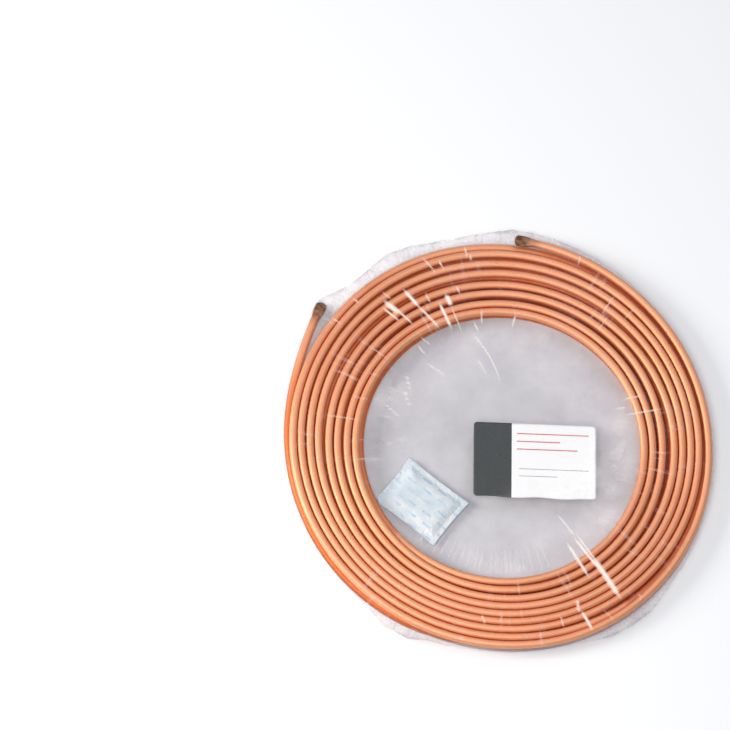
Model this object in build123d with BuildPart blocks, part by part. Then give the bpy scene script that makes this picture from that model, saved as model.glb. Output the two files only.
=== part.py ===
"""Shrink-wrapped coil of soft copper refrigeration tube, lying on its flat side.

One length of tube is wound as a flat coil of two layers. A clear film bag with a sealed seam holds it,
with a paper label and a desiccant packet in the middle. Both ends of the tube are pinched shut and
spring off the coil: the lower layer's end runs clockwise, the upper layer's end anticlockwise.

Millimetres, +Z up. The origin is on the coil's axis, on the film's flat underside.
"""

import os
from math import cos, pi, radians, sin, sqrt, tan

from build123d import *

os.makedirs("parts", exist_ok=True)

# Copper tube
tube_diameter = 6.35
tube_wall = 0.81

# Winding: the upper layer is looser than the lower one
bore_radius = 110.0
upper_turns = 8
upper_turn_gap = 1.02
lower_turns = 9
lower_turn_gap = 0.05

# The tube is drawn with few sides, and its free ends are a hair thinner, to grow cleanly out of a turn
tube_sides = 8
end_inset = 0.02

# Lower layer's free end: it creeps off the outermost turn, then runs on straight
lower_end_start = -110.0
lower_end_lean = 1.25
lower_end_opening = 3.8
lower_end_sweep = 88.0
lower_end_run = 55.0

# Upper layer's free end: it leans off its turn and is shorter
upper_end_start = 12.0
upper_end_lean = 2.8
upper_end_opening = 4.8
upper_end_sweep = 66.0
upper_end_run = 8.0

# Pinched seal on each free end
pinch_taper_length = 9.0
pinch_flat_length = 7.0
pinch_sections = 4

# Film bag
film_thickness = 0.1
film_clearance = 0.3
seam_width = 7.0

# Paper label under the upper film
label_width = 98.0
label_height = 62.0
label_thickness = 0.25
label_corner_radius = 3.0
label_centre = (25.8, -12.3)
label_turn = -1.3

# Desiccant packet on the lower film, with one corner close to the bore
packet_length = 61.0
packet_width = 46.0
packet_thickness = 5.6
packet_seal_width = 4.0
packet_seal_thickness = 0.3
packet_crown_inset = 9.0
packet_bore_clearance = 1.5
packet_corner_angle = 203.6
packet_turn = -37.5

# Places that follow from those sizes
tube_radius = tube_diameter / 2
side_half = tube_radius * tan(pi / tube_sides)
coil_base = film_thickness + film_clearance
lower_layer_z = coil_base + tube_radius
upper_layer_z = lower_layer_z + tube_diameter
coil_top = upper_layer_z + tube_radius
seam_z = (lower_layer_z + upper_layer_z) / 2
end_radius = tube_radius - end_inset
pinch_width = pi * (tube_diameter - tube_wall) / 2 + tube_wall
pinch_height = 2 * tube_wall


def turn_radii(turns, gap):
    """Centre radii of one layer's turns, from the bore outwards."""
    pitch = tube_diameter + gap
    return [bore_radius + tube_radius + turn * pitch for turn in range(turns)]


def polar(radius, angle):
    """Point in the plan at a radius and an angle in degrees."""
    return Vector(radius * cos(radians(angle)), radius * sin(radians(angle)))


upper_radii = turn_radii(upper_turns, upper_turn_gap)
lower_radii = turn_radii(lower_turns, lower_turn_gap)
coil_radius = max(upper_radii[-1], lower_radii[-1]) + tube_radius


def crests(radii, height, side):
    """Flat tops of one layer's turns with a V groove between each two, from the bore outwards."""
    points = []
    for inner, outer in zip(radii, radii[1:]):
        groove_depth = (outer - inner) / 2 - side_half
        points += [
            (inner - side_half, height + side * tube_radius),
            (inner + side_half, height + side * tube_radius),
            ((inner + outer) / 2, height + side * (tube_radius - groove_depth)),
        ]
    points += [
        (radii[-1] - side_half, height + side * tube_radius),
        (radii[-1] + side_half, height + side * tube_radius),
    ]
    return points


def flank(upper_wall, lower_wall, side):
    """Side of the winding from the upper layer down, with a V groove between the layers."""
    groove_rise = 2 * (tube_radius - side_half)
    groove_radius = (upper_wall + lower_wall - side * groove_rise) / 2
    groove_z = seam_z - side * (upper_wall - lower_wall) / 2
    return [
        (upper_wall, upper_layer_z + side_half),
        (upper_wall, upper_layer_z - side_half),
        (groove_radius, groove_z),
        (lower_wall, lower_layer_z + side_half),
        (lower_wall, lower_layer_z - side_half),
    ]


def free_end_line(turn_radius, height, heading, start_angle, lean, opening, sweep_angle, run):
    """Line of a free end: an arc off its turn, then a straight run. heading is 1 anticlockwise."""
    start = polar(turn_radius, start_angle) + Vector(0, 0, height)
    tangent = polar(1, start_angle + heading * (90 - lean))
    with BuildLine() as line:
        arc = JernArc(start, tangent, turn_radius + opening, heading * sweep_angle)
        PolarLine(arc @ 1, run, direction=arc % 1)
    return line


def lower_end_line(height, offset=0):
    """Centre line of the lower layer's free end at a height, or the line that runs offset outside it."""
    return free_end_line(
        lower_radii[-1] + offset, height, -1,
        lower_end_start, lower_end_lean, lower_end_opening, lower_end_sweep, lower_end_run,
    )


def upper_end_line(height, offset=0):
    """Centre line of the upper layer's free end at a height, or the line that runs offset outside it."""
    return free_end_line(
        upper_radii[-1] + offset, height, 1,
        upper_end_start, upper_end_lean, upper_end_opening, upper_end_sweep, upper_end_run,
    )


def across(line, share, distance=0):
    """Plane across a free end, moved straight on by a distance, with its X axis in the coil's plane."""
    forward = line.tangent_at(share)
    place = line.position_at(share) + forward * distance
    return Plane(place, x_dir=(-forward.Y, forward.X, 0), z_dir=forward)


def squeezed_section(squeeze):
    """Section of the tube: round at squeeze 0, flat with both walls touching at squeeze 1."""
    half_width = end_radius + (pinch_width / 2 - end_radius) * squeeze
    half_height = end_radius + (pinch_height / 2 - end_radius) * squeeze
    corner_reach = 1 / cos(pi / tube_sides)
    angles = [pi / tube_sides * (2 * side + 1) for side in range(tube_sides)]
    return [(half_width * corner_reach * cos(a), half_height * corner_reach * sin(a)) for a in angles]


def free_end(centre_line):
    """Tube along its centre line, squeezed flat over the pinch's taper and cut off square."""
    line = centre_line.wires()[0]
    with BuildPart() as end:
        with BuildSketch(across(line, 0)):
            Polygon(*squeezed_section(0), align=None)
        sweep(path=line)
        for section in range(pinch_sections):
            share = section / (pinch_sections - 1)
            squeeze = share * share * (3 - 2 * share)
            with BuildSketch(across(line, 1, share * pinch_taper_length)):
                Polygon(*squeezed_section(squeeze), align=None)
        loft(ruled=True)
        with BuildSketch(across(line, 1, pinch_taper_length)):
            Polygon(*squeezed_section(1), align=None)
        extrude(amount=pinch_flat_length)
    return end.part


with BuildPart() as copper_tube:
    with BuildSketch(Plane.XZ):
        with BuildLine():
            outer_flank = flank(upper_radii[-1] + tube_radius, lower_radii[-1] + tube_radius, 1)
            bore_flank = flank(bore_radius, bore_radius, -1)
            upper_crests = crests(upper_radii, upper_layer_z, 1)
            lower_crests = crests(lower_radii, lower_layer_z, -1)
            Polyline(*upper_crests, *outer_flank, *lower_crests[::-1], *bore_flank[::-1], close=True)
        make_face()
    revolve(axis=Axis.Z)
    add(free_end(lower_end_line(lower_layer_z)))
    add(free_end(upper_end_line(upper_layer_z)))
copper_tube.part.label = "copper_tube"


def wrap_face(gap):
    """Taut plan of the wrap round the coil and both free ends, standing off them by gap."""
    tip_distance = pinch_taper_length + pinch_flat_length - pinch_width / 2
    with BuildSketch() as face:
        with BuildLine() as contents:
            CenterArc((0, 0), coil_radius + gap, lower_end_start, 360)
            for end_line in (lower_end_line, upper_end_line):
                add(end_line(0, offset=tube_radius + gap))
                run = end_line(0).edges()[-1]
                CenterArc(run @ 1 + (run % 1) * tip_distance, pinch_width / sqrt(2) + gap, 0, 360)
        make_hull(contents.edges())
    return face.sketch


def wrap_block(gap):
    """Solid that stands off the coil by gap all round, with rims bevelled like the tube's sides."""
    with BuildPart() as block:
        with BuildSketch(Plane.XY.offset(coil_base - gap)):
            add(wrap_face(gap))
        extrude(amount=coil_top - coil_base + 2 * gap)
        rims = block.faces().filter_by(Axis.Z).edges()
        chamfer(rims, length=(tube_radius + gap) * (2 - sqrt(2)))
    return block.part


with BuildPart() as shrink_film:
    add(wrap_block(film_clearance + film_thickness))
    with BuildSketch(Plane.XY.offset(seam_z - film_thickness)):
        add(wrap_face(film_clearance + film_thickness + seam_width))
    extrude(amount=2 * film_thickness)
    add(wrap_block(film_clearance), mode=Mode.SUBTRACT)
shrink_film.part.label = "shrink_film"

label_z = coil_top - label_thickness
with BuildPart() as paper_label:
    with BuildSketch(Plane(origin=(*label_centre, label_z))):
        RectangleRounded(label_width, label_height, label_corner_radius, rotation=label_turn)
    extrude(amount=label_thickness)
paper_label.part.label = "paper_label"

near_corner = polar(bore_radius - packet_bore_clearance, packet_corner_angle)
corner_to_centre = Vector(packet_length / 2, packet_width / 2).rotate(Axis.Z, packet_turn)
packet_centre = near_corner + corner_to_centre + Vector(0, 0, coil_base + packet_thickness / 2)
packet_plane = Plane(origin=packet_centre).rotated((0, 0, packet_turn))
packet_side = Plane(origin=packet_plane.origin, x_dir=packet_plane.x_dir, z_dir=packet_plane.y_dir)
packet_end = Plane(origin=packet_plane.origin, x_dir=packet_plane.y_dir, z_dir=packet_plane.x_dir)


def pouch_profile(length):
    """Long side or short side of the filled pouch: thin at its ends, with a flat crown on both faces."""
    half, crown, height = length / 2, length / 2 - packet_crown_inset, packet_thickness / 2
    return Polygon(
        (-half, 0), (-crown, height), (crown, height), (half, 0), (crown, -height), (-crown, -height)
    )


with BuildPart() as desiccant_packet:
    with BuildSketch(packet_side):
        pouch_profile(packet_length - 2 * packet_seal_width)
    extrude(amount=packet_width / 2 - packet_seal_width, both=True)
    with BuildSketch(packet_end):
        pouch_profile(packet_width - 2 * packet_seal_width)
    extrude(amount=packet_length / 2 - packet_seal_width, both=True, mode=Mode.INTERSECT)
    with BuildSketch(packet_plane):
        Rectangle(packet_length, packet_width)
    extrude(amount=packet_seal_thickness / 2, both=True)
desiccant_packet.part.label = "desiccant_packet"

for piece in (copper_tube, shrink_film, paper_label, desiccant_packet):
    export_step(piece.part, f"parts/{piece.part.label}.step")
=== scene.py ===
"""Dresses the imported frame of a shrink-wrapped coil of soft copper tube: round wound tube, wrinkled
clear film, paper label and desiccant packet.

Shapes and the camera are in millimetres and degrees. Materials, lamps and the floor are in metres.
"""

from math import cos, pi, radians, sin, sqrt

import bpy
import numpy as np
from mathutils import Matrix, Vector, noise


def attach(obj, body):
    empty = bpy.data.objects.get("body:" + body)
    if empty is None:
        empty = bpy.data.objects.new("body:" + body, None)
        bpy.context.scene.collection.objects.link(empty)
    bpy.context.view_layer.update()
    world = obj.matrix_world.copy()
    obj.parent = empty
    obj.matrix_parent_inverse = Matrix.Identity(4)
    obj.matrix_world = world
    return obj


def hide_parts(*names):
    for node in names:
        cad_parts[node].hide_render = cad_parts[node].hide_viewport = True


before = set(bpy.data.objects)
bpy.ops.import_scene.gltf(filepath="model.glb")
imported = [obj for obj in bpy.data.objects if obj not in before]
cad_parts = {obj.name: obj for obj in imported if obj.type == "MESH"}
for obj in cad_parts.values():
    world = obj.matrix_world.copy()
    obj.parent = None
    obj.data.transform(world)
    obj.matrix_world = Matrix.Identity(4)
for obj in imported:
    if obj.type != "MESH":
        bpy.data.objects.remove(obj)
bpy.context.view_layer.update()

MM = 0.001

# Tube and the heights of its two layers
TUBE_D = 6.35
TUBE_R = TUBE_D / 2
LOW_Z = 3.575
HIGH_Z = LOW_Z + TUBE_D
SEAM_Z = (LOW_Z + HIGH_Z) / 2
TOP_Z = HIGH_Z + TUBE_R

# Points for each turn, points round the section, and the finer stretch at each end
STEPS = 180
SIDES = 24
END_REACH = 14
END_FINENESS = 6

# Pinched ends
PINCH_TAPER = 9.0
PINCH_FLAT = 7.0
PINCH_WIDTH = 9.0
PINCH_HEIGHT = 1.62
PINCH_SQUARENESS = 0.6
TIP_ROUNDING = 2.2
TIP_NARROWEST = 0.12
# Painted shade on the flattened ends, full up to a quarter of its length from the tip
END_SHADE_LENGTH = 20
END_SHADE_SHARE = 1.25
# Painted shade on the side of the section that lies in a groove: where it starts and its width, as shares of
# the half width
SHADE_FLANK_START = 0.68
SHADE_FLANK_WIDTH = 0.30

# Lower layer, wound inwards: angle, radius. The first point is the pinched tip
LOWER_OUTER = [
    (139.4, 186.5), (145, 179.7), (150, 175.7), (156, 172.8), (162, 171.8), (170, 170.7), (180, 169.3),
    (190, 168.3), (200, 167.4), (220, 166.7), (240, 165.8), (257, 163.0), (272, 159.0), (285, 156.5),
    (298, 155.2), (320, 155.0), (330, 155.0),
]
# Its other turns: pitch, number, and how far they stand out at an angle, which fades inwards
LOWER_PITCH = 6.38
LOWER_TURNS = 6.625
LOWER_STEP = 15
LOWER_SPREAD = [
    (-30, 0), (0, 2.0), (40, 5.0), (80, 8.0), (120, 9.0), (160, 7.5), (200, 5.5), (250, 2.5), (290, 0.3),
    (330, 0),
]

# Upper layer, wound outwards: radii of the turns at every 30 degrees, each turn from 240 degrees on
UPPER_START = 240
UPPER_STEP = 30
UPPER_TURNS = [
    (112.7, 112.8, 113.0, 113.1, 113.8, 114.4, 114.4, 114.5, 115.2, 116.3, 117.0, 117.6),
    (118.7, 119.7, 120.2, 120.0, 120.5, 121.3, 121.1, 121.1, 121.5, 122.7, 123.8, 124.2),
    (125.4, 127.1, 127.6, 127.8, 127.9, 130.2, 129.9, 129.7, 130.0, 131.2, 131.3, 131.5),
    (132.6, 133.7, 134.6, 135.8, 138.1, 138.4, 137.1, 137.2, 138.0, 138.4, 138.1, 138.6),
    (139.2, 139.8, 141.2, 143.0, 144.3, 146.0, 146.6, 146.9, 147.5, 148.0, 146.5, 145.1),
    (144.8, 145.4, 147.2, 149.4, 150.8, 153.1, 154.5, 154.9, 155.4, 154.9, 153.1, 151.4),
    (150.2, 151.6, 153.8, 156.0, 157.4, 159.4, 162.0, 163.6, 163.9, 162.1, 160.1, 158.0),
]

# Next turn, with the stretch that sinks beside the lower layer: turned angle, radius, height
SUNKEN = [
    (240, 156.7, HIGH_Z), (270, 158.3, HIGH_Z), (285, 160.4, 8.6), (298, 160.8, 6.8), (312, 161.6, 5.2),
    (330, 161.6, LOW_Z), (360, 161.8, LOW_Z), (420, 168.3, LOW_Z), (440, 170.4, LOW_Z), (470, 171.6, LOW_Z),
    (480, 171.0, 4.6), (495, 169.8, 6.9), (510, 168.4, 8.6), (525, 167.4, 9.6), (540, 166.5, HIGH_Z),
    (570, 164.5, HIGH_Z),
]
# Outermost stretch, up to the pinched tip: turned angle, radius
UPPER_OUTER = [
    (600, 163.5), (630, 164.7), (660, 165.1), (690, 165.5), (720, 165.3), (730, 165.8), (740, 166.7),
    (750, 168.0), (760, 169.2), (770, 170.6), (780, 172.3), (790, 174.0), (799, 175.4), (806, 176.5),
]
# Angles between which the tube rises from the lower layer to the upper one, at the bore
CROSSING = (195, 262)

# How turns that overlap settle: share of an overlap pushed away, share straightened, share pulled back
SETTLE_ROUNDS = 240
SETTLE_PUSH = 0.4
SETTLE_SMOOTHING = 0.25
SETTLE_RECALL = 0.01

# Film: its clearance to the tube, its radius at the tube's flank, and its rows from centre to rim and back
FILM_GAP = 0.18
FILM_BEND = TUBE_R + FILM_GAP
HOLE_EDGE = 112
RIM_START = 150
TOP_RADII = (*np.linspace(5, 41, 7), *np.linspace(44, 106, 21), *np.linspace(108, RIM_START, 17))
RIM_SHARES = np.linspace(0, 1, 7)[1:]
BEND_TURNS = (32, 64)
FLANK_DROP = 0.4
WEB_SHARES = (0.12, 0.55, 1.0)
WEB_RISE = 0.06
WEB_DROP = 0.08
UNDER_RADII = (140, 112, 84, 56, 30, 15)
# Angles between the film's columns: everywhere, and at pleats, with the margins before and after a pleat
COLUMN_STEP = 0.75
PLEAT_STEP = 0.25
PLEAT_MARGINS = (0.6, 0.7)
# Shape of a pleat: bluntness of its ends and of its crest, and the least share of its width
PLEAT_ENDS = 1.6
PLEAT_CREST = 1.4
PLEAT_NARROWEST = 0.3
# Slack over the hole: the width of its rise at the edge, and the height, fineness and seed of its waves
SLACK_EDGE = 14
SLACK_WAVES = ((0.45, 28, 1), (0.08, 110, 2))
# Furthest that a pleat or slack stands off the taut film
PROUD = 0.55

# Outline of the film's flat web: angle, radius. It keeps a least width
WEB = [
    (0, 170.5), (15, 170.8), (30, 172.5), (45, 175.0), (60, 179.5), (68, 182.0), (75, 184.0), (81, 185.7),
    (86, 186.4), (91, 184.0), (97, 181.8), (102, 180.5), (108, 182.0), (112, 184.0), (119, 186.0),
    (125, 182.5), (131, 181.0), (136, 185.5), (139, 190.0), (142, 188.5), (146, 184.5), (151, 180.0),
    (157, 177.2), (163, 176.2), (170, 175.2), (180, 173.6), (190, 172.6), (200, 171.7), (220, 171.2),
    (231, 172.0), (237, 177.0), (244, 177.5), (250, 172.0), (262, 170.0), (280, 170.0), (291, 172.0),
    (299, 177.5), (311, 178.0), (320, 173.0), (332, 171.0), (346, 170.0),
]
WEB_LEAST = 1.4
# How far its outline is crinkled and its edge flutters up and down, with the rate of each round the axis
WEB_CRINKLE, CRINKLE_RATE = 0.7, 22
WEB_FLUTTER, FLUTTER_RATE = 0.9, 70

# Pleats of the upper film: angle and radius of both ends, height, half width, whiteness (partly real crease
# whitening, partly painted glint)
PLEATS = [
    (307.4, 112, 306.0, 158, 0.8, 2.08, 1.0), (306.2, 92, 306.4, 132, 0.5, 1.04, 0.9),
    (308.2, 90, 307.2, 128, 0.4, 0.78, 0.8), (307.0, 70, 307.0, 96, 0.4, 0.91, 0.5),
    (293.8, 149, 294.4, 169, 0.5, 1.17, 0.95), (294.2, 140, 292.8, 150, 0.4, 1.04, 0.85),
    (301.8, 92, 301.6, 130, 0.5, 1.17, 0.9), (287.2, 148, 287.0, 157, 0.3, 0.52, 0.6),
    (262.2, 142, 263.8, 149, 0.3, 0.78, 0.7), (258.0, 163, 257.0, 168, 0.3, 0.65, 0.6),
    (299.8, 156, 301.0, 168, 0.25, 0.45, 0.4), (304.2, 166, 304.8, 172, 0.3, 0.65, 0.6),
    (311.4, 160, 310.2, 168, 0.3, 0.52, 0.5), (318.9, 128, 319.3, 138, 0.2, 0.45, 0.35),
    (126.2, 136, 127.6, 152, 0.8, 2.21, 1.0), (124.6, 122, 126.6, 146, 0.4, 0.91, 0.75),
    (125.4, 151, 126.4, 158, 0.3, 0.65, 0.7), (127.9, 131, 129.4, 149, 0.4, 0.91, 0.8),
    (119.2, 132, 120.6, 152, 0.6, 1.43, 1.0), (116.2, 108, 119.6, 136, 0.4, 1.04, 0.75),
    (111.6, 105, 112.2, 130, 0.5, 1.17, 0.85), (108.4, 124, 108.8, 135, 0.6, 1.82, 1.0),
    (108.0, 98, 108.5, 126, 0.3, 0.52, 0.5), (115.0, 132, 115.0, 141, 0.3, 0.65, 0.6),
    (104.0, 131, 104.5, 139, 0.35, 0.65, 0.7), (106.7, 156, 107.4, 163, 0.4, 0.78, 0.8),
    (109.4, 155, 111.4, 170, 0.35, 0.65, 0.7), (99.2, 163, 99.3, 169, 0.3, 0.65, 0.7),
    (98.2, 160, 98.3, 163, 0.35, 0.91, 0.8), (98.4, 102, 97.2, 117, 0.35, 0.65, 0.6),
    (100.3, 98, 101.8, 107, 0.35, 0.65, 0.7), (123.6, 100, 125.4, 110, 0.3, 0.52, 0.5),
    (133.4, 163, 134.2, 170, 0.35, 0.78, 0.7), (141.8, 163, 142.0, 170, 0.35, 0.65, 0.6),
    (170.3, 114, 170.6, 146, 0.25, 0.52, 0.35), (161.0, 112, 161.6, 126, 0.2, 0.52, 0.3),
    (149.6, 112, 151.0, 123, 0.2, 0.52, 0.3), (84.6, 101, 83.4, 112, 0.35, 0.78, 0.7),
    (87.0, 161, 87.6, 163, 0.35, 1.04, 0.8), (67.6, 167, 68.0, 176, 0.25, 0.65, 0.5),
    (15.6, 100, 14.4, 134, 0.35, 0.65, 0.6), (19.6, 98, 18.4, 106, 0.3, 0.65, 0.6),
    (22.8, 104, 21.2, 123, 0.35, 0.65, 0.65), (47.6, 147, 47.4, 160, 0.2, 0.45, 0.4),
    (54.0, 138, 54.4, 160, 0.25, 0.52, 0.5), (51.6, 126, 52.0, 142, 0.2, 0.45, 0.4),
    (89.5, 50, 104.8, 102, 0.35, 0.65, 0.65), (100.5, 58.6, 105.0, 77, 0.3, 0.65, 0.45),
    (127.5, 72, 131.5, 92, 0.35, 1.3, 0.35), (128.9, 98, 128.3, 107, 0.3, 0.8, 0.6),
    (148.0, 86, 141.0, 98, 0.4, 1.04, 0.5), (158.0, 78, 149.0, 90, 0.4, 1.17, 0.45),
    (165.0, 84, 160.0, 99, 0.35, 0.91, 0.4), (352.0, 88, 8.0, 93, 0.4, 1.04, 0.3),
    (340.0, 93, 352.0, 90, 0.3, 1.04, 0.25),
]
# Short pleats where the film gathers at the foot of the bore: first angle, last angle, spacing, their
# inner and outer radius, height and half width
GATHERS = (228, 292, 3.2)
GATHER_RADII = (84, 109)
GATHER_SHAPE = (0.3, 0.5)
# Low waves that gather the film round the bore: height, rate, and the radii of their rise and fall
PULL_HEIGHT = 0.9
PULL_RATE = 14
PULL_RISE = (60, 100)
PULL_FALL = (110, 118)

# Label
LABEL_SIZE = (98.0, 62.0)
LABEL_THICK = 0.25
LABEL_CORNER = 3.0
LABEL_CENTRE = (25.8, -12.3)
LABEL_TURN = -1.3
LABEL_GRID = (64, 40)
LABEL_SINK = 0.02
BAND_SHARE = 0.31
# Its wavy lower edge: share of the height that waves, the wave's rate across, its shift and its dip
WAVE_SHARE = 0.25
WAVE_RATE = 0.16
WAVE_SHIFT = 0.5
WAVE_DIP = 0.15
# Plain ruled lines on the label: left, right, height, thickness, colour
RED_RULE, GREY_RULE = (0.62, 0.10, 0.10), (0.22, 0.22, 0.24)
LABEL_LINES = [
    (-14.5, 43, 22.5, 0.9, RED_RULE), (-14.5, 20, 16.0, 0.9, RED_RULE), (-14.5, 34, 9.5, 0.9, RED_RULE),
    (-12.5, 43, -7.0, 0.5, GREY_RULE), (-12.5, 18, -13.0, 0.5, GREY_RULE),
]

# Desiccant packet, with its nearest corner bent up where it would reach into the tube
PACKET_SIZE = (60.0, 46.5)
PACKET_THICK = 5.6
PACKET_SEAL = 4.0
PACKET_CENTRE = (-64.0, -44.6)
PACKET_TURN = -38.5
PACKET_GRID = (96, 72)
PACKET_BASE = 0.45
PACKET_REACH = 108.6
CORNER_RISE = 0.8
# Its filled crown: width of the rise, fullness of the rise, dip of the middle, lumps and folds
CROWN_WIDTH = 9
CROWN_POWER = 0.6
CROWN_DIP = 0.55
LUMP_HEIGHT, LUMP_RATE = 0.45, 0.13
FOLD_HEIGHT, FOLD_RATES = 0.3, (0.075, 0.11)
# Its flat edges: half thickness, height and rate of their ripples, and how far the filling draws them in
EDGE_HALF = 0.15
RIPPLE_HEIGHT, RIPPLE_RATE = 0.35, 0.5
RIPPLE_MARGIN = 1.5
EDGE_PULL = 1.1
EDGE_PULL_SHARE = 0.9

# Lamps: direction, distance, size, power, colour
LAMPS = {
    "key": ((-0.30, -0.45, 1.2), 1.3, 0.7, 8.0, (1.0, 0.96, 0.90)),
    "side": ((-0.95, 0.02, 0.42), 2.0, 0.7, 31, (1.0, 0.95, 0.88)),
    "fill": ((0.5, 0.9, 1.2), 2.4, 1.2, 10, (0.97, 0.96, 1.0)),
}
SKY_COLOUR = (0.80, 0.90, 1.0, 1)
SKY_STRENGTH = 0.30
FLOOR_SIZE = 6
FLOOR_COLOUR = (0.85, 0.86, 0.89, 1)
FLOOR_LIFT = 0.12

# Camera: distance, the size of a pixel at the coil, the picture's width, and the coil's pixel in it
CAMERA_DISTANCE = 6000.0
CAMERA_PIXEL = 0.795
PICTURE = 730
COIL_PIXEL = (502.0, 447.0)
CAMERA_RIGHT = (0.99487, -0.01678, 0.09975)
CAMERA_ABOVE = (-0.01678, 0.94513, 0.32627)
CAMERA_AWAY = (-0.09975, -0.32627, 0.94)


def smooth(share):
    """Smooth step from 0 to 1."""
    share = np.clip(share, 0, 1)
    return share * share * (3 - 2 * share)


def through(points, at):
    """Smooth curve (cubic Hermite) through (position, value) points, read at the given positions."""
    x, y = np.array(points, float).T
    slope = np.gradient(y, x)
    i = np.clip(np.searchsorted(x, at, side="right") - 1, 0, len(x) - 2)
    h = x[i + 1] - x[i]
    t = np.clip((at - x[i]) / h, 0, 1)
    return (
        (1 + 2 * t) * (1 - t) ** 2 * y[i] + t * (1 - t) ** 2 * h * slope[i]
        + t * t * (3 - 2 * t) * y[i + 1] - t * t * (1 - t) * h * slope[i + 1]
    )


def wave(angles, rate, seed):
    """Smooth noise from -1 to 1 round the axis, the same at 0 and 360 degrees."""
    return np.array([noise.noise(Vector((cos(a) * rate, sin(a) * rate, seed))) for a in np.radians(angles)])


def grain(points, scale, seed):
    """Smooth noise from -1 to 1 at each point."""
    shift = Vector((seed * 7.3, seed * 3.1, seed * 5.7))
    return np.array([noise.noise(Vector(p) * scale + shift) for p in points])


def place_at(angles, radii, heights):
    """Points in space, in metres, from turned angles, radii and heights."""
    turned = np.radians(angles)
    return np.stack([radii * np.cos(turned), radii * np.sin(turned), heights], -1) * MM


def add_mesh(name, points, faces):
    """New smooth-shaded mesh object from points and faces."""
    mesh = bpy.data.meshes.new(name)
    mesh.from_pydata([tuple(p) for p in points], [], faces)
    mesh.polygons.foreach_set("use_smooth", [True] * len(mesh.polygons))
    mesh.update()
    piece = bpy.data.objects.new(name, mesh)
    bpy.context.scene.collection.objects.link(piece)
    return piece


def paint(piece, name, values):
    """Stores one number for each vertex of a piece under a name that its material reads."""
    stored = piece.data.attributes.new(name, "FLOAT", "POINT")
    stored.data.foreach_set("value", np.asarray(values, np.float32))


def skin_faces(rings, sides, flip=False):
    """Faces of a skin through closed rings of points, shut by one more point at each end."""
    faces = []
    for i in range(rings - 1):
        for j in range(sides):
            k = (j + 1) % sides
            faces.append((i * sides + j, i * sides + k, (i + 1) * sides + k, (i + 1) * sides + j))
    last, first_tip, last_tip = (rings - 1) * sides, rings * sides, rings * sides + 1
    for j in range(sides):
        k = (j + 1) % sides
        faces += [(first_tip, k, j), (last_tip, last + j, last + k)]
    return [face[:1] + face[:0:-1] for face in faces] if flip else faces


def sheet_faces(across, down):
    """Faces of a thin sheet: a grid of points on its upper side, then on its lower side, and a border."""
    half = (across + 1) * (down + 1)
    faces = []
    for j in range(down):
        for i in range(across):
            a = j * (across + 1) + i
            quad = (a, a + 1, a + across + 2, a + across + 1)
            faces += [quad, tuple(half + v for v in reversed(quad))]
    border = list(range(across + 1))
    border += [j * (across + 1) + across for j in range(1, down + 1)]
    border += [down * (across + 1) + i for i in range(across - 1, -1, -1)]
    border += [j * (across + 1) for j in range(down - 1, 0, -1)]
    return faces + [(a, half + a, half + b, b) for a, b in zip(border, border[1:] + border[:1])]


def winding():
    """Turned angle, radius and height along the tube, from the lower layer's tip to the upper layer's."""
    low_last, low_last_radius = LOWER_OUTER[-1]
    low_end = low_last + LOWER_TURNS * 360
    radius, height = list(LOWER_OUTER), [(LOWER_OUTER[0][0], LOW_Z)]
    spread_start = LOWER_SPREAD[0][0]
    for angle in np.arange(low_last + LOWER_STEP, low_end, LOWER_STEP):
        turns = (angle - low_last) / 360
        spread = float(through(LOWER_SPREAD, (angle - spread_start) % 360 + spread_start))
        radius.append((angle, low_last_radius - LOWER_PITCH * turns + spread * (1 - turns / LOWER_TURNS)))
    rise_start, rise_end = CROSSING
    base = low_end - rise_start
    height += [(low_end, LOW_Z), (base + rise_end, HIGH_Z)]
    for turn, row in enumerate(UPPER_TURNS):
        for place, value in enumerate(row):
            radius.append((base + UPPER_START + 360 * turn + UPPER_STEP * place, value))
    outer = base + 360 * len(UPPER_TURNS)
    for angle, value, level in SUNKEN:
        radius.append((outer + angle, value))
        height.append((outer + angle, level))
    radius += [(outer + angle, value) for angle, value in UPPER_OUTER]
    height.append((outer + UPPER_OUTER[-1][0], HIGH_Z))
    step = 360 / STEPS
    angles = np.arange(np.ceil(radius[0][0] / step) * step, radius[-1][0], step)
    heights = np.interp(angles, *np.array(height).T)
    crossing = (angles > low_end) & (angles < base + rise_end)
    rise = (angles[crossing] - low_end) / (rise_end - rise_start)
    heights[crossing] = LOW_Z + TUBE_D * smooth(rise)
    return angles, through(radius, angles), heights


def settle(angles, radii, heights):
    """Pushes turns that overlap at the same angle apart, and keeps the line smooth, as wound tube lies."""
    place = np.round(angles / 360 * STEPS).astype(int)
    start, width = place[0], int(np.ceil((place[-1] - place[0] + 1) / STEPS)) * STEPS
    point = np.full((width, 2), np.nan)
    point[place - start] = np.stack([radii, heights], 1)
    used = ~np.isnan(point[:, 0])
    wish = point[used].copy()
    tiny = 1e-6
    for _ in range(SETTLE_ROUNDS):
        grid = point.reshape(-1, STEPS, 2)
        gap = grid[:, None] - grid[None]
        distance = np.sqrt((gap ** 2).sum(-1))
        short = np.where(distance < TUBE_D, TUBE_D - distance, 0)
        short[np.isnan(short) | (distance < tiny)] = 0
        push = np.nansum(gap / np.maximum(distance, tiny)[..., None] * short[..., None] * SETTLE_PUSH, 1)
        point = (grid + push).reshape(-1, 2)
        line = point[used]
        line[1:-1] += SETTLE_SMOOTHING * (line[:-2] + line[2:] - 2 * line[1:-1])
        line += SETTLE_RECALL * (wish - line)
        line[:, 1] = np.clip(line[:, 1], LOW_Z, HIGH_Z)
        point[used] = line
    return point[used].T


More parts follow.
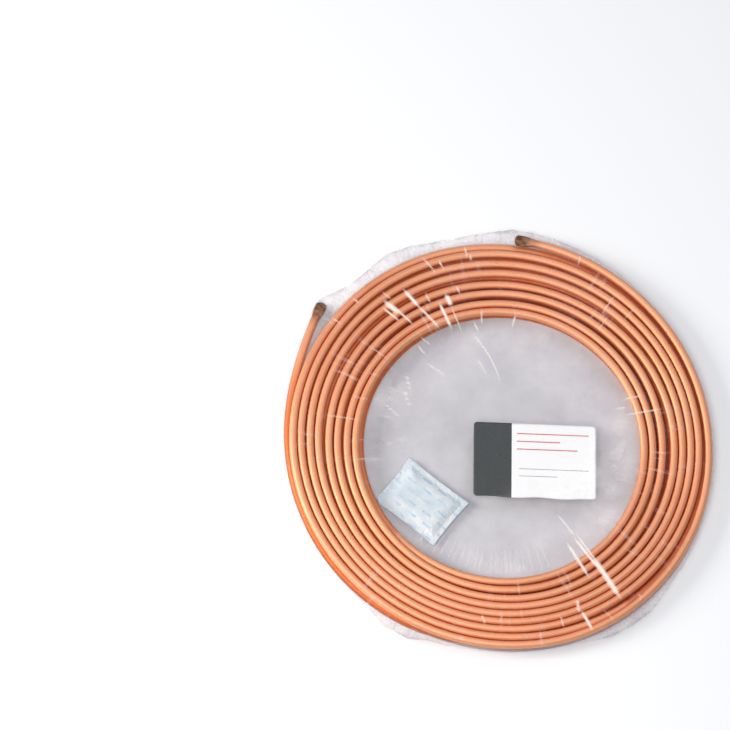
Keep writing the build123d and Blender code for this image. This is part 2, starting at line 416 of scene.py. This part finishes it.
def nestling(angles, radii, heights):
    """How closely each point's turn lies to the turns outside and inside it, and how far one covers it: the
    measure of the painted shade in the grooves.
    """
    reach, beside_height, over_height, far = 6, 4.5, 4, 99
    place = np.round(angles / 360 * STEPS).astype(int) % STEPS
    result = np.zeros((3, len(angles)))
    for slot in range(STEPS):
        own = np.flatnonzero(place == slot)
        across = radii[own][None] - radii[own][:, None]
        above = heights[own][None] - heights[own][:, None]
        distance = np.hypot(across, above)
        for row, side in enumerate((1, -1)):
            beside = np.where((side * across > 1) & (np.abs(above) < beside_height), distance, far)
            result[row, own] = smooth(1 - (beside.min(1) - TUBE_D) / reach)
        over = np.where(above > over_height, np.abs(across), far)
        result[2, own] = smooth(1.4 - over.min(1) / reach)
    return result


def tube_line(angles, radii, heights):
    """Turned angles, radii and heights with finer steps at both ends, out to the tips."""
    fine = 360 / STEPS / END_FINENESS
    first_angle, last_angle = LOWER_OUTER[0][0], angles[-1] + 360 / STEPS * 0.98
    first = np.arange(first_angle, angles[0] + END_REACH, fine)
    last = np.arange(angles[-1] - END_REACH, last_angle, fine)
    middle = angles[(angles > first[-1] + fine) & (angles < last[0] - fine)]
    turned = np.concatenate([first, middle, last])
    known = np.concatenate([[first_angle], angles, [last_angle]])
    beyond = radii[-1] + (radii[-1] - radii[-2])
    radius = np.interp(turned, known, np.concatenate([[LOWER_OUTER[0][1]], radii, [beyond]]))
    height = np.interp(turned, known, np.concatenate([[LOW_Z], heights, [HIGH_Z]]))
    return turned, radius, height


def make_tube(angles, radii, heights):
    """The wound tube as one round skin, pinched flat at both ends."""
    turned, radius, height = tube_line(angles, radii, heights)
    outside, inside, covered = (np.interp(turned, angles, row) for row in nestling(angles, radii, heights))
    line = place_at(turned, radius, height)
    forward = np.gradient(line, axis=0)
    forward /= np.linalg.norm(forward, axis=1)[:, None]
    side = np.cross(forward, (0, 0, 1))
    side /= np.linalg.norm(side, axis=1)[:, None]
    up = np.cross(side, forward)
    along = np.concatenate([[0], np.cumsum(np.linalg.norm(np.diff(line, axis=0), axis=1))]) / MM
    to_end = np.minimum(along, along[-1] - along)
    squeeze = smooth(1 - (to_end - PINCH_FLAT) / PINCH_TAPER)
    tip = 1 - (1 - np.clip(to_end / TIP_ROUNDING, 0, 1)) ** 2
    half_width = (TUBE_R + (PINCH_WIDTH / 2 - TUBE_R) * squeeze) * np.sqrt(np.clip(tip, TIP_NARROWEST, 1))
    half_height = TUBE_R + (PINCH_HEIGHT / 2 - TUBE_R) * squeeze
    power = (1 - PINCH_SQUARENESS * squeeze)[:, None]
    around = (np.arange(SIDES) / SIDES - 0.25) * 2 * pi
    level, rise = np.cos(around), np.sin(around)
    across = np.sign(level) * np.abs(level) ** power * half_width[:, None]
    above = np.sign(rise) * np.abs(rise) ** power * half_height[:, None]
    ring = line[:, None] + (side[:, None] * across[..., None] + up[:, None] * above[..., None]) * MM
    count = len(line)
    points = np.concatenate([ring.reshape(-1, 3), line[[0, -1]]])
    piece = add_mesh("copper_coil", points, skin_faces(count, SIDES))
    paint(piece, "along", np.concatenate([np.repeat(along * MM, SIDES), [0, along[-1] * MM]]))
    paint(piece, "around", np.concatenate([np.tile(np.abs(around - pi / 2) / pi, count), [0.5, 0.5]]))
    # Painted shade: the flattened ends darkened to stand for the dark reflections in their pinch
    end_shade = smooth(END_SHADE_SHARE - to_end / END_SHADE_LENGTH)
    paint(piece, "pinch_shade", np.concatenate([np.repeat(end_shade, SIDES), [1, 1]]))
    # Painted shade: the flanks that lie against the next turn, and the tops of turns that another turn
    # covers
    shade_flank =smooth((np.abs(level) - SHADE_FLANK_START) / SHADE_FLANK_WIDTH)[None]
    beside_shade = np.where(level[None] > 0, outside[:, None], inside[:, None]) * shade_flank
    under_shade = covered[:, None] * (rise > -0.3)[None]
    paint(piece, "groove_shade", np.concatenate([np.maximum(beside_shade, under_shade * 0.9).ravel(), [0, 0]]))
    return piece


def rim_radius(columns, angles, radii):
    """Outer face of the winding at each column's angle."""
    rim = np.zeros(len(columns))
    for turn in range(-1, int(angles[-1] / 360) + 1):
        at = columns + 360 * turn
        inside = (at >= angles[0]) & (at <= angles[-1])
        rim = np.maximum(rim, np.where(inside, np.interp(at, angles, radii), 0))
    return rim + TUBE_R


def film_pleats():
    """The listed pleats and the short ones at the foot of the bore."""
    pleats = list(PLEATS)
    inner, outer = GATHER_RADII
    for angle in np.arange(*GATHERS):
        drift = noise.noise(Vector((angle * 0.37, 4, 1)))
        size = abs(drift)
        ends = (angle + 2 * drift, inner + 14 * size, angle + 4 * drift, outer)
        pleats.append((*ends, *GATHER_SHAPE, 0.18 + 0.3 * size))
    return pleats


def film_columns(pleats):
    """Angles of the film's columns, closer together at the pleats."""
    base = [np.arange(0, 360, COLUMN_STEP)]
    before, after = PLEAT_MARGINS
    for first, _, last, *_ in pleats:
        base.append(np.arange(min(first, last) - before, max(first, last) + after, PLEAT_STEP))
    columns = np.unique(np.round(np.mod(np.concatenate(base), 360) / PLEAT_STEP) * PLEAT_STEP)
    return columns[columns < 360]


def film_rows(rim, web):
    """Radii and heights of the film's rows, from the upper centre over the rim and web to the lower centre.

    Also the first row of the flat web and the first row after it.
    """
    radii, heights = [], []

    def add(radius, height):
        radii.append(np.broadcast_to(radius, rim.shape))
        heights.append(np.full(rim.shape, height))

    for radius in TOP_RADII:
        add(radius, TOP_Z + FILM_GAP)
    for share in RIM_SHARES:
        add(RIM_START + (rim - TUBE_R - RIM_START) * share, TOP_Z + FILM_GAP)
    for turn in BEND_TURNS:
        add(rim - TUBE_R + FILM_BEND * sin(radians(turn)), HIGH_Z + FILM_BEND * cos(radians(turn)))
    add(rim + FILM_GAP, HIGH_Z - FLANK_DROP)
    flat_start = len(radii)
    for share in WEB_SHARES:
        add(rim + FILM_GAP + (web - rim - FILM_GAP) * share, SEAM_Z + WEB_RISE * (1 - share))
    for share in WEB_SHARES[-2::-1]:
        add(rim + FILM_GAP + (web - rim - FILM_GAP) * share, SEAM_Z - WEB_DROP)
    flat_end = len(radii)
    add(rim + FILM_GAP, LOW_Z + FLANK_DROP)
    for turn in BEND_TURNS[::-1]:
        add(rim - TUBE_R + FILM_BEND * sin(radians(turn)), LOW_Z - FILM_BEND * cos(radians(turn)))
    for radius in (rim - TUBE_R, *UNDER_RADII):
        add(radius, LOW_Z - FILM_BEND)
    return np.array(radii), np.array(heights), flat_start, flat_end


def raise_pleats(pleats, columns, radii, heights):
    """Lifts the upper ply along each pleat. Gives how white each point turns, partly real crease whitening
    and partly painted glint.
    """
    crease_white_and_glint = np.zeros(radii.shape)
    for angle, first, turned_to, last, height, half, white_and_glint_share in pleats:
        share = (radii - first) / (last - first)
        off = (columns[None] - angle - (turned_to - angle) * share + 180) % 360 - 180
        across = np.radians(off) * radii
        taper = np.clip(PLEAT_ENDS * np.sin(pi * np.clip(share, 0, 1)), 0, 1)
        reach = half * np.maximum(taper, PLEAT_NARROWEST)
        shape = np.clip(PLEAT_CREST - np.abs(across) / reach, 0, 1) * taper
        heights += height * shape
        crease_white_and_glint = np.maximum(crease_white_and_glint, white_and_glint_share * shape)
    return crease_white_and_glint


def raise_slack(columns, radii, heights):
    """Lifts the upper ply where it lies slack over the hole, and gathers it at the foot of the bore."""
    flat = place_at(np.broadcast_to(columns, radii.shape), radii, np.zeros(radii.shape)).reshape(-1, 3)
    (rise_start, rise_end), (fall_start, fall_end) = PULL_RISE, PULL_FALL
    pull = smooth((radii - rise_start) / (rise_end - rise_start))
    pull *= smooth((fall_end - radii) / (fall_end - fall_start))
    heights += PULL_HEIGHT * np.abs(wave(columns, PULL_RATE, 7))[None] * pull
    waves = (height * np.abs(grain(flat, scale, seed)) for height, scale, seed in SLACK_WAVES)
    heights += smooth((HOLE_EDGE - radii) / SLACK_EDGE) * sum(waves).reshape(radii.shape)
    proud = np.maximum(heights - TOP_Z - FILM_GAP, 0)
    heights += PROUD * np.tanh(proud / PROUD) - proud


def make_film(angles, radii):
    """The bag as one closed skin: upper ply, rim, flat web and lower ply."""
    pleats = film_pleats()
    columns = film_columns(pleats)
    rim = rim_radius(columns, angles, radii)
    outline = np.array(WEB + [(360 + WEB[0][0], WEB[0][1])], float)
    web = np.maximum(np.interp(columns, *outline.T), rim + WEB_LEAST)
    web += wave(columns, CRINKLE_RATE, 1) * WEB_CRINKLE
    rows, level, flat_start, flat_end = film_rows(rim, web)
    upper = flat_start - len(BEND_TURNS) - 1
    crease_white_and_glint = np.zeros(rows.shape)
    crease_white_and_glint[:upper] = raise_pleats(pleats, columns, rows[:upper], level[:upper])
    raise_slack(columns, rows[:upper], level[:upper])
    fan = np.array([noise.noise(Vector((a * FLUTTER_RATE, 2, 3))) for a in np.radians(columns)])
    level[flat_start:flat_end] += (fan * WEB_FLUTTER)[None] * smooth((web - rim - 2) / 6)[None]
    points = place_at(np.broadcast_to(columns, rows.shape), rows, level).reshape(-1, 3)
    centres = [(0, 0, (TOP_Z + FILM_GAP) * MM), (0, 0, (LOW_Z - FILM_BEND) * MM)]
    faces = skin_faces(len(rows), len(columns), flip=True)
    piece = add_mesh("clear_film", np.concatenate([points, centres]), faces)
    edge, under = np.zeros(rows.shape), np.zeros(rows.shape)
    edge[flat_start:flat_end] = smooth((web - rim) / 8)[None]
    under[flat_end:] = 1
    inside = smooth((HOLE_EDGE - rows) / 10)
    paint(piece, "crease_white_and_glint", np.concatenate([crease_white_and_glint.ravel(), [0, 0]]))
    paint(piece, "web", np.concatenate([edge.ravel(), [0, 0]]))
    paint(piece, "hole", np.concatenate([inside.ravel(), [1, 1]]))
    paint(piece, "under", np.concatenate([under.ravel(), [0, 1]]))
    return piece


def lay(piece, centre, turn):
    """Turns a piece about the vertical and moves it to its centre in the plan."""
    move = Matrix.Translation((centre[0] * MM, centre[1] * MM, 0))
    piece.matrix_world = move @ Matrix.Rotation(radians(turn), 4, "Z")


def make_label():
    """Printed card with rounded corners and a slightly wavy lower edge."""
    wide, high = LABEL_SIZE
    across, down = LABEL_GRID
    points = []
    for depth in (0, LABEL_THICK):
        for j in range(down + 1):
            for i in range(across + 1):
                x, y = wide * (i / across - 0.5), high * (j / down - 0.5)
                inner_x = min(max(x, -wide / 2 + LABEL_CORNER), wide / 2 - LABEL_CORNER)
                inner_y = min(max(y, -high / 2 + LABEL_CORNER), high / 2 - LABEL_CORNER)
                out = sqrt((x - inner_x) ** 2 + (y - inner_y) ** 2)
                if out > LABEL_CORNER:
                    x = inner_x + (x - inner_x) * LABEL_CORNER / out
                    y = inner_y + (y - inner_y) * LABEL_CORNER / out
                low = smooth((WAVE_SHARE - j / down) / WAVE_SHARE)
                y += low * WAVE_SHIFT * sin(x * WAVE_RATE + 1)
                z = TOP_Z - depth - LABEL_SINK - WAVE_DIP * low * (1 + sin(x * WAVE_RATE))
                points.append((x * MM, y * MM, z * MM))
    piece = add_mesh("printed_label", points, sheet_faces(across, down))
    lay(piece, LABEL_CENTRE, LABEL_TURN)
    return piece


def make_packet():
    """Filled pouch: crowned and crinkled, with flat sealed edges."""
    long_side, short_side = PACKET_SIZE
    across, down = PACKET_GRID
    points, seal = [], []
    for side in (1, -1):
        for j in range(down + 1):
            for i in range(across + 1):
                u, v = 2 * i / across - 1, 2 * j / down - 1
                x, y = u * long_side / 2, v * short_side / 2
                to_rim = min(long_side / 2 - abs(x), short_side / 2 - abs(y))
                crown = float(smooth((to_rim - PACKET_SEAL) / CROWN_WIDTH)) ** CROWN_POWER
                pull = (1 - crown) * EDGE_PULL_SHARE
                x -= pull * u * (1 - v * v) * EDGE_PULL
                y -= pull * v * (1 - u * u) * EDGE_PULL
                lump = noise.noise(Vector((x * LUMP_RATE, y * LUMP_RATE, side * 3.0)))
                crest = noise.noise(Vector((x * FOLD_RATES[0] + 9, y * FOLD_RATES[1], side * 5.0)))
                fold = max(1 - abs(crest) * 2, 0) ** 3
                ripple = noise.noise(Vector((x * RIPPLE_RATE, y * RIPPLE_RATE, side)))
                fill = PACKET_THICK / 2 - CROWN_DIP + LUMP_HEIGHT * lump + FOLD_HEIGHT * fold
                z = side * (EDGE_HALF + crown * fill)
                z += (1 - crown) * RIPPLE_HEIGHT * ripple * min(1, to_rim / RIPPLE_MARGIN)
                points.append([x * MM, y * MM, z * MM])
                seal.append(1 - crown)
    points = np.array(points)
    points[:, 2] += PACKET_BASE * MM - points[len(points) // 2:, 2].min()
    turn = np.array(Matrix.Rotation(radians(PACKET_TURN), 4, "Z"))[:3, :3]
    centre = np.array((*PACKET_CENTRE, 0)) * MM
    points = points @ turn.T + centre
    reach = np.linalg.norm(points[:, :2], axis=1) / MM
    over = np.maximum(reach - PACKET_REACH, 0)
    points[:, :2] *= ((reach - over) / reach)[:, None]
    points[:, 2] += over * CORNER_RISE * MM
    points = (points - centre) @ turn
    piece = add_mesh("drying_packet", points, sheet_faces(across, down))
    paint(piece, "seal", seal)
    lay(piece, PACKET_CENTRE, PACKET_TURN)
    return piece


class Nodes:
    """Short way to write a material's nodes."""

    def __init__(self, name):
        self.material = bpy.data.materials.new(name)
        self.material.use_nodes = True
        self.tree = self.material.node_tree
        self.tree.nodes.clear()
        self.output = self.add("ShaderNodeOutputMaterial")

    def add(self, kind, settings=None, **sockets):
        """Adds a node, sets its properties, and links or sets its inputs by name."""
        node = self.tree.nodes.new(kind)
        for key, value in (settings or {}).items():
            setattr(node, key, value)
        for key, value in sockets.items():
            self.put(node.inputs[key.replace("_", " ")], value)
        return node

    def put(self, socket, value):
        """Links a socket to another, or sets its value."""
        if isinstance(value, bpy.types.NodeSocket):
            self.tree.links.new(value, socket)
        else:
            socket.default_value = value

    def attribute(self, name):
        """Number stored on the mesh."""
        return self.add("ShaderNodeAttribute", {"attribute_name": name}).outputs["Fac"]

    def math(self, operation, first, second=0.0, clamp=False):
        """Math on two numbers."""
        node = self.add("ShaderNodeMath", {"operation": operation, "use_clamp": clamp})
        self.put(node.inputs[0], first)
        self.put(node.inputs[1], second)
        return node.outputs[0]

    def times(self, first, *others):
        """Product of numbers."""
        for other in others:
            first = self.math("MULTIPLY", first, other)
        return first

    def plus(self, first, *others):
        """Sum of numbers."""
        for other in others:
            first = self.math("ADD", first, other)
        return first

    def span(self, value, low, high, to_low=0.0, to_high=1.0):
        """Moves a number from one range to another, held at both ends."""
        node = self.add("ShaderNodeMapRange", Value=value)
        for index, number in enumerate((low, high, to_low, to_high), 1):
            self.put(node.inputs[index], number)
        return node.outputs[0]

    def blend(self, share, first, second):
        """Mix of two colours."""
        node = self.add("ShaderNodeMix", {"data_type": "RGBA"})
        self.put(node.inputs[0], share)
        self.put(node.inputs[6], first)
        self.put(node.inputs[7], second)
        return node.outputs[2]

    def mix(self, share, first, second):
        """Mix of two shaders."""
        node = self.add("ShaderNodeMixShader", Fac=share)
        self.put(node.inputs[1], first.outputs[0])
        self.put(node.inputs[2], second.outputs[0])
        return node

    def noise(self, vector, scale, detail=3.0, roughness=0.55):
        """Noise pattern as a number."""
        node = self.add("ShaderNodeTexNoise", Vector=vector, Scale=scale, Detail=detail, Roughness=roughness)
        return node.outputs[0]

    def bump(self, height, strength, distance):
        """Normal that follows a height."""
        return self.add("ShaderNodeBump", Height=height, Strength=strength, Distance=distance).outputs[0]

    def place(self):
        """Place on the object."""
        return self.add("ShaderNodeTexCoord").outputs["Object"]

    def split(self, vector):
        """The three numbers of a vector."""
        return self.add("ShaderNodeSeparateXYZ", Vector=vector).outputs

    def join(self, x=0.0, y=0.0, z=0.0):
        """Vector from three numbers."""
        return self.add("ShaderNodeCombineXYZ", X=x, Y=y, Z=z).outputs[0]

    def finish(self, shader):
        """Ends the material with a shader."""
        self.put(self.output.inputs["Surface"], shader.outputs[0])
        return self.material


def copper_material():
    """Satin drawn copper: fine lines along the tube, warm patches, and painted shade in the grooves between
    turns and on the pinched ends.
    """
    n = Nodes("drawn_copper")
    along, around, pinch_shade, groove_shade = (n.attribute(name) for name in ("along", "around", "pinch_shade", "groove_shade"))
    lines = n.noise(n.join(n.times(along, 6.0), n.times(around, 26.0)), 1.0, 4.0)
    patches = n.noise(n.join(n.times(along, 14.0), around), 1.0, 2.0)
    marks = n.noise(n.place(), 260.0, 3.0)
    warm = n.blend(n.span(patches, 0.35, 0.65), (0.92, 0.39, 0.20, 1), (0.96, 0.45, 0.26, 1))
    lined = n.blend(n.span(lines, 0.35, 0.7, 0.0, 0.4), warm, (0.99, 0.55, 0.35, 1))
    worn = n.blend(n.span(marks, 0.62, 0.75, 0.0, 0.25), lined, (0.66, 0.26, 0.13, 1))
    # Painted shade: deep red-brown in the grooves between turns and on covered turns
    groove_shaded = n.blend(n.times(groove_shade, 0.96), worn, (0.62, 0.135, 0.026, 1))
    # Painted shade on the pinched ends, broken up by the marks
    end_shade = n.blend(n.times(pinch_shade, n.span(marks, 0.3, 0.6, 0.6, 0.97)), groove_shaded, (0.10, 0.060, 0.032, 1))
    shader = n.add(
        "ShaderNodeBsdfPrincipled", Base_Color=end_shade, Metallic=0.64, Specular_IOR_Level=0.2,
        Specular_Tint=(0.85, 0.45, 0.28, 1), Roughness=n.span(patches, 0.3, 0.7, 0.50, 0.60),
        Normal=n.bump(lines, 0.12, 0.0002),
    )
    return n.finish(shader)


def film_material():
    """Clear glossy film: it whitens where its plies lie crinkled on each other, its pleats whiten partly for
    real and partly as painted glints, and its lower ply is painted darker as shade in the hole.
    """
    n = Nodes("clear_wrap")
    crease_white_and_glint, web, hole, under = (n.attribute(name) for name in ("crease_white_and_glint", "web", "hole", "under"))
    place = n.place()
    x, y, _ = n.split(place)
    flat = n.join(x, y)
    radius = n.add("ShaderNodeVectorMath", {"operation": "LENGTH"}, Vector=flat).outputs["Value"]
    heading = n.add("ShaderNodeVectorMath", {"operation": "NORMALIZE"}, Vector=flat).outputs["Vector"]
    cos_a, sin_a, _ = n.split(heading)
    rays = n.join(n.times(cos_a, 46.0), n.times(sin_a, 46.0), n.times(radius, 30.0))
    ribs = n.noise(rays, 1.0, 3.0, 0.6)
    veil = n.noise(place, 24.0, 4.0)
    crease = n.noise(place, 90.0, 4.0, 0.6)

    # Fine radial streaks on the upper ply, and even gathers at the coil's upper right
    above = n.math("SUBTRACT", n.span(radius, 0.066, 0.100), under, clamp=True)
    fine = n.times(n.span(ribs, 0.58, 0.72), n.span(veil, 0.46, 0.62), above)
    swing = n.plus(n.times(n.math("ARCTAN2", y, x), 420.0), n.times(ribs, 14.0))
    upper_right = n.times(n.span(sin_a, 0.5, 0.85), n.span(cos_a, -0.45, -0.1), n.span(veil, 0.4, 0.55))
    on_top = n.times(above, n.span(radius, 0.160, 0.168, 1.0, 0.0))
    gathers = n.times(n.span(n.times(n.math("SINE", swing), 0.5), 0.1, 0.5), upper_right, on_top)

    # Smears of the upper ply over the hole
    smear = n.times(n.span(n.noise(place, 17.0, 5.0, 0.65), 0.48, 0.70), n.span(radius, 0.03, 0.095))
    smear = n.times(n.math("SUBTRACT", hole, under, clamp=True), smear)

    # Milkiness: the upper ply's casts little shadow, and the lower ply and the web have theirs all over. The
    # lower ply's thick dark haze is painted shade in the hole.
    veil_haze, fine_haze, gather_haze, pleat_haze_and_glint = n.span(veil, 0.4, 0.7, 0.0, 0.004), 0.28, 0.10, 0.85
    haze = n.plus(
        veil_haze, n.times(fine, fine_haze), n.times(gathers, gather_haze),
        n.times(smear, n.span(crease, 0.3, 0.7, 0.10, 0.38)), n.times(crease_white_and_glint, pleat_haze_and_glint),
    )
    shadow = n.add("ShaderNodeLightPath").outputs["Is Shadow Ray"]
    haze = n.times(haze, n.span(shadow, 0.0, 1.0, 1.0, 0.15))
    # Painted shade: the lower ply is hazed thickly so that the floor seen through the hole looks shadowed
    haze = n.plus(haze, n.times(under, n.span(veil, 0.3, 0.7, 0.30, 0.46)))
    haze = n.math("ADD", haze, n.times(web, n.span(crease, 0.38, 0.66, 0.06, 0.30)), clamp=True)

    # Painted shade: the lower ply's milk is a dark lilac grey, for the shadow inside the hole
    milk_and_hole_shade = n.blend(under, (0.78, 0.74, 0.80, 1), (0.40, 0.38, 0.44, 1))
    smeared = n.blend(n.span(n.math("MAXIMUM", fine, smear), 0.0, 0.25), milk_and_hole_shade, (0.96, 0.93, 0.93, 1))
    # Painted glint: pleats tinted cream as warm light catches them, over their real whitening
    tint = n.blend(n.span(crease_white_and_glint, 0.0, 0.12), smeared, (1.0, 0.95, 0.88, 1))
    clear = n.add("ShaderNodeBsdfTransparent", Color=(0.99, 0.985, 0.985, 1))
    milk = n.add("ShaderNodeBsdfDiffuse", Color=tint)
    relief = n.plus(crease, n.times(ribs, n.span(radius, 0.07, 0.10), 0.6))
    gloss = n.add(
        "ShaderNodeBsdfGlossy", Color=(1, 1, 1, 1), Roughness=0.12, Normal=n.bump(relief, 0.25, 0.0015)
    )
    facing = n.add("ShaderNodeLayerWeight", Blend=0.5).outputs["Facing"]
    sheen = n.plus(n.times(n.math("POWER", facing, 5.0), n.span(web, 0.0, 1.0, 0.18, 0.0)), 0.005)
    return n.finish(n.mix(sheen, n.mix(haze, clear, milk), gloss))


def label_material():
    """Coated white card with a charcoal band on its left and plain ruled lines."""
    n = Nodes("printed_card")
    place = n.place()
    x, y, _ = n.split(place)
    fibre = n.noise(place, 900.0, 3.0)
    band = n.math("LESS_THAN", x, (BAND_SHARE - 0.5) * LABEL_SIZE[0] * MM)
    mottle = n.span(fibre, 0.3, 0.7)
    paper = n.blend(mottle, (0.92, 0.93, 0.96, 1), (0.97, 0.98, 0.99, 1))
    ink = n.blend(mottle, (0.042, 0.047, 0.050, 1), (0.066, 0.072, 0.076, 1))
    colour = n.blend(band, paper, ink)
    for left, right, low, thick, line in LABEL_LINES:
        along = n.times(n.math("GREATER_THAN", x, left * MM), n.math("LESS_THAN", x, right * MM))
        level = n.math("LESS_THAN", n.math("ABSOLUTE", n.math("SUBTRACT", y, low * MM)), thick / 2 * MM)
        worn = n.times(along, level, n.span(fibre, 0.25, 0.5, 0.6, 1.0))
        colour = n.blend(worn, colour, (*line, 1))
    shader = n.add(
        "ShaderNodeBsdfPrincipled", Base_Color=colour, Roughness=0.4, Normal=n.bump(fibre, 0.1, 0.0001)
    )
    return n.finish(shader)


def packet_material():
    """Breathable pouch paper: pale bluish white, blue dashes, and a fine crimp along its sealed edges."""
    n = Nodes("pouch_paper")
    dash_rows, dash_length = 1000 / 7.5, 1000 / 15
    place = n.place()
    x, y, _ = n.split(place)
    fibre = n.noise(place, 500.0, 4.0, 0.65)
    cloud = n.noise(place, 60.0, 3.0)
    pale = n.blend(n.span(cloud, 0.35, 0.65), (0.585, 0.68, 0.765, 1), (0.735, 0.785, 0.825, 1))
    paper = n.blend(n.span(fibre, 0.55, 0.75, 0.0, 0.5), pale, (0.85, 0.87, 0.89, 1))
    row = n.times(y, dash_rows)
    rows = n.math("LESS_THAN", n.math("FRACT", row), 0.24)
    shift = n.times(n.math("FLOOR", row), 0.37)
    dash = n.math("LESS_THAN", n.math("FRACT", n.plus(n.times(x, dash_length), shift)), 0.55)
    print_share = n.times(rows, dash, n.span(fibre, 0.35, 0.6, 0.25, 0.7), n.span(cloud, 0.40, 0.55))
    colour = n.blend(print_share, paper, (0.20, 0.46, 0.74, 1))
    crimp = n.math("SINE", n.times(n.plus(x, y), 5200.0))
    height = n.plus(n.times(crimp, n.times(n.attribute("seal"), 0.25)), fibre)
    shader = n.add(
        "ShaderNodeBsdfPrincipled", Base_Color=colour, Roughness=0.6, Normal=n.bump(height, 0.4, 0.0003)
    )
    return n.finish(shader)


def floor_material():
    """Plain white floor that stays white to the camera and keeps the object's shadow."""
    n = Nodes("studio_floor")
    matte = n.add("ShaderNodeBsdfDiffuse", Color=FLOOR_COLOUR)
    path = n.add("ShaderNodeLightPath").outputs
    seen = path["Is Camera Ray"]
    for kind in ("Is Glossy Ray", "Is Transmission Ray"):
        seen = n.math("MAXIMUM", seen, path[kind])
    lift = n.add("ShaderNodeEmission", Color=(1, 1, 1, 1), Strength=n.times(seen, FLOOR_LIFT))
    shader = n.add("ShaderNodeAddShader")
    n.put(shader.inputs[0], matte.outputs[0])
    n.put(shader.inputs[1], lift.outputs[0])
    return n.finish(shader)


def add_light(name, direction, distance, size, power, colour):
    """Square soft light that points at the object."""
    lamp = bpy.data.lights.new(name, "AREA")
    lamp.shape, lamp.size, lamp.energy, lamp.color = "SQUARE", size, power, colour
    place = bpy.data.objects.new(name, lamp)
    away = Vector(direction).normalized()
    place.location = away * distance
    place.rotation_mode = "QUATERNION"
    place.rotation_quaternion = away.to_track_quat("Z", "Y")
    bpy.context.scene.collection.objects.link(place)


def add_camera():
    """Camera at the photograph's angle, with the coil where the photograph has it in the frame."""
    focal = CAMERA_DISTANCE / CAMERA_PIXEL
    off_x, off_y = (pixel - PICTURE / 2 for pixel in COIL_PIXEL)
    ray = Vector((off_x / focal, -off_y / focal, -1)).normalized()
    swing = Vector((0, 0, -1)).rotation_difference(ray).to_matrix()
    axes = Matrix([CAMERA_RIGHT, CAMERA_ABOVE, CAMERA_AWAY]).transposed() @ swing.transposed()
    data = bpy.data.cameras.new("camera")
    data.sensor_width = 36
    data.lens = focal * data.sensor_width / PICTURE
    camera = bpy.data.objects.new("camera", data)
    place = Vector((0, 0, HIGH_Z)) + Vector(CAMERA_AWAY) * CAMERA_DISTANCE
    camera.matrix_world = Matrix.Translation(place * MM) @ axes.to_4x4()
    bpy.context.scene.collection.objects.link(camera)
    bpy.context.scene.camera = camera


turned, radius, height = winding()
radius, height = settle(turned, radius, height)

tube = make_tube(turned, radius, height)
film = make_film(turned, radius)
label = make_label()
packet = make_packet()
for piece, node, slot, material in (
    (tube, "copper_tube", "copper", copper_material()),
    (film, "shrink_film", "film", film_material()),
    (label, "paper_label", "label", label_material()),
    (packet, "desiccant_packet", "packet", packet_material()),
):
    piece.data.materials.append(material)
    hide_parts(node)
    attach(piece, "root")

bpy.ops.mesh.primitive_plane_add(size=FLOOR_SIZE)
floor = bpy.context.object
floor.name = "floor"
floor.data.materials.append(floor_material())

world = bpy.data.worlds.new("studio")
world.use_nodes = True
world.node_tree.nodes["Background"].inputs["Color"].default_value = SKY_COLOUR
world.node_tree.nodes["Background"].inputs["Strength"].default_value = SKY_STRENGTH
bpy.context.scene.world = world
for name, settings in LAMPS.items():
    add_light(name, *settings)
add_camera()
bpy.context.scene.view_settings.view_transform = "Standard"
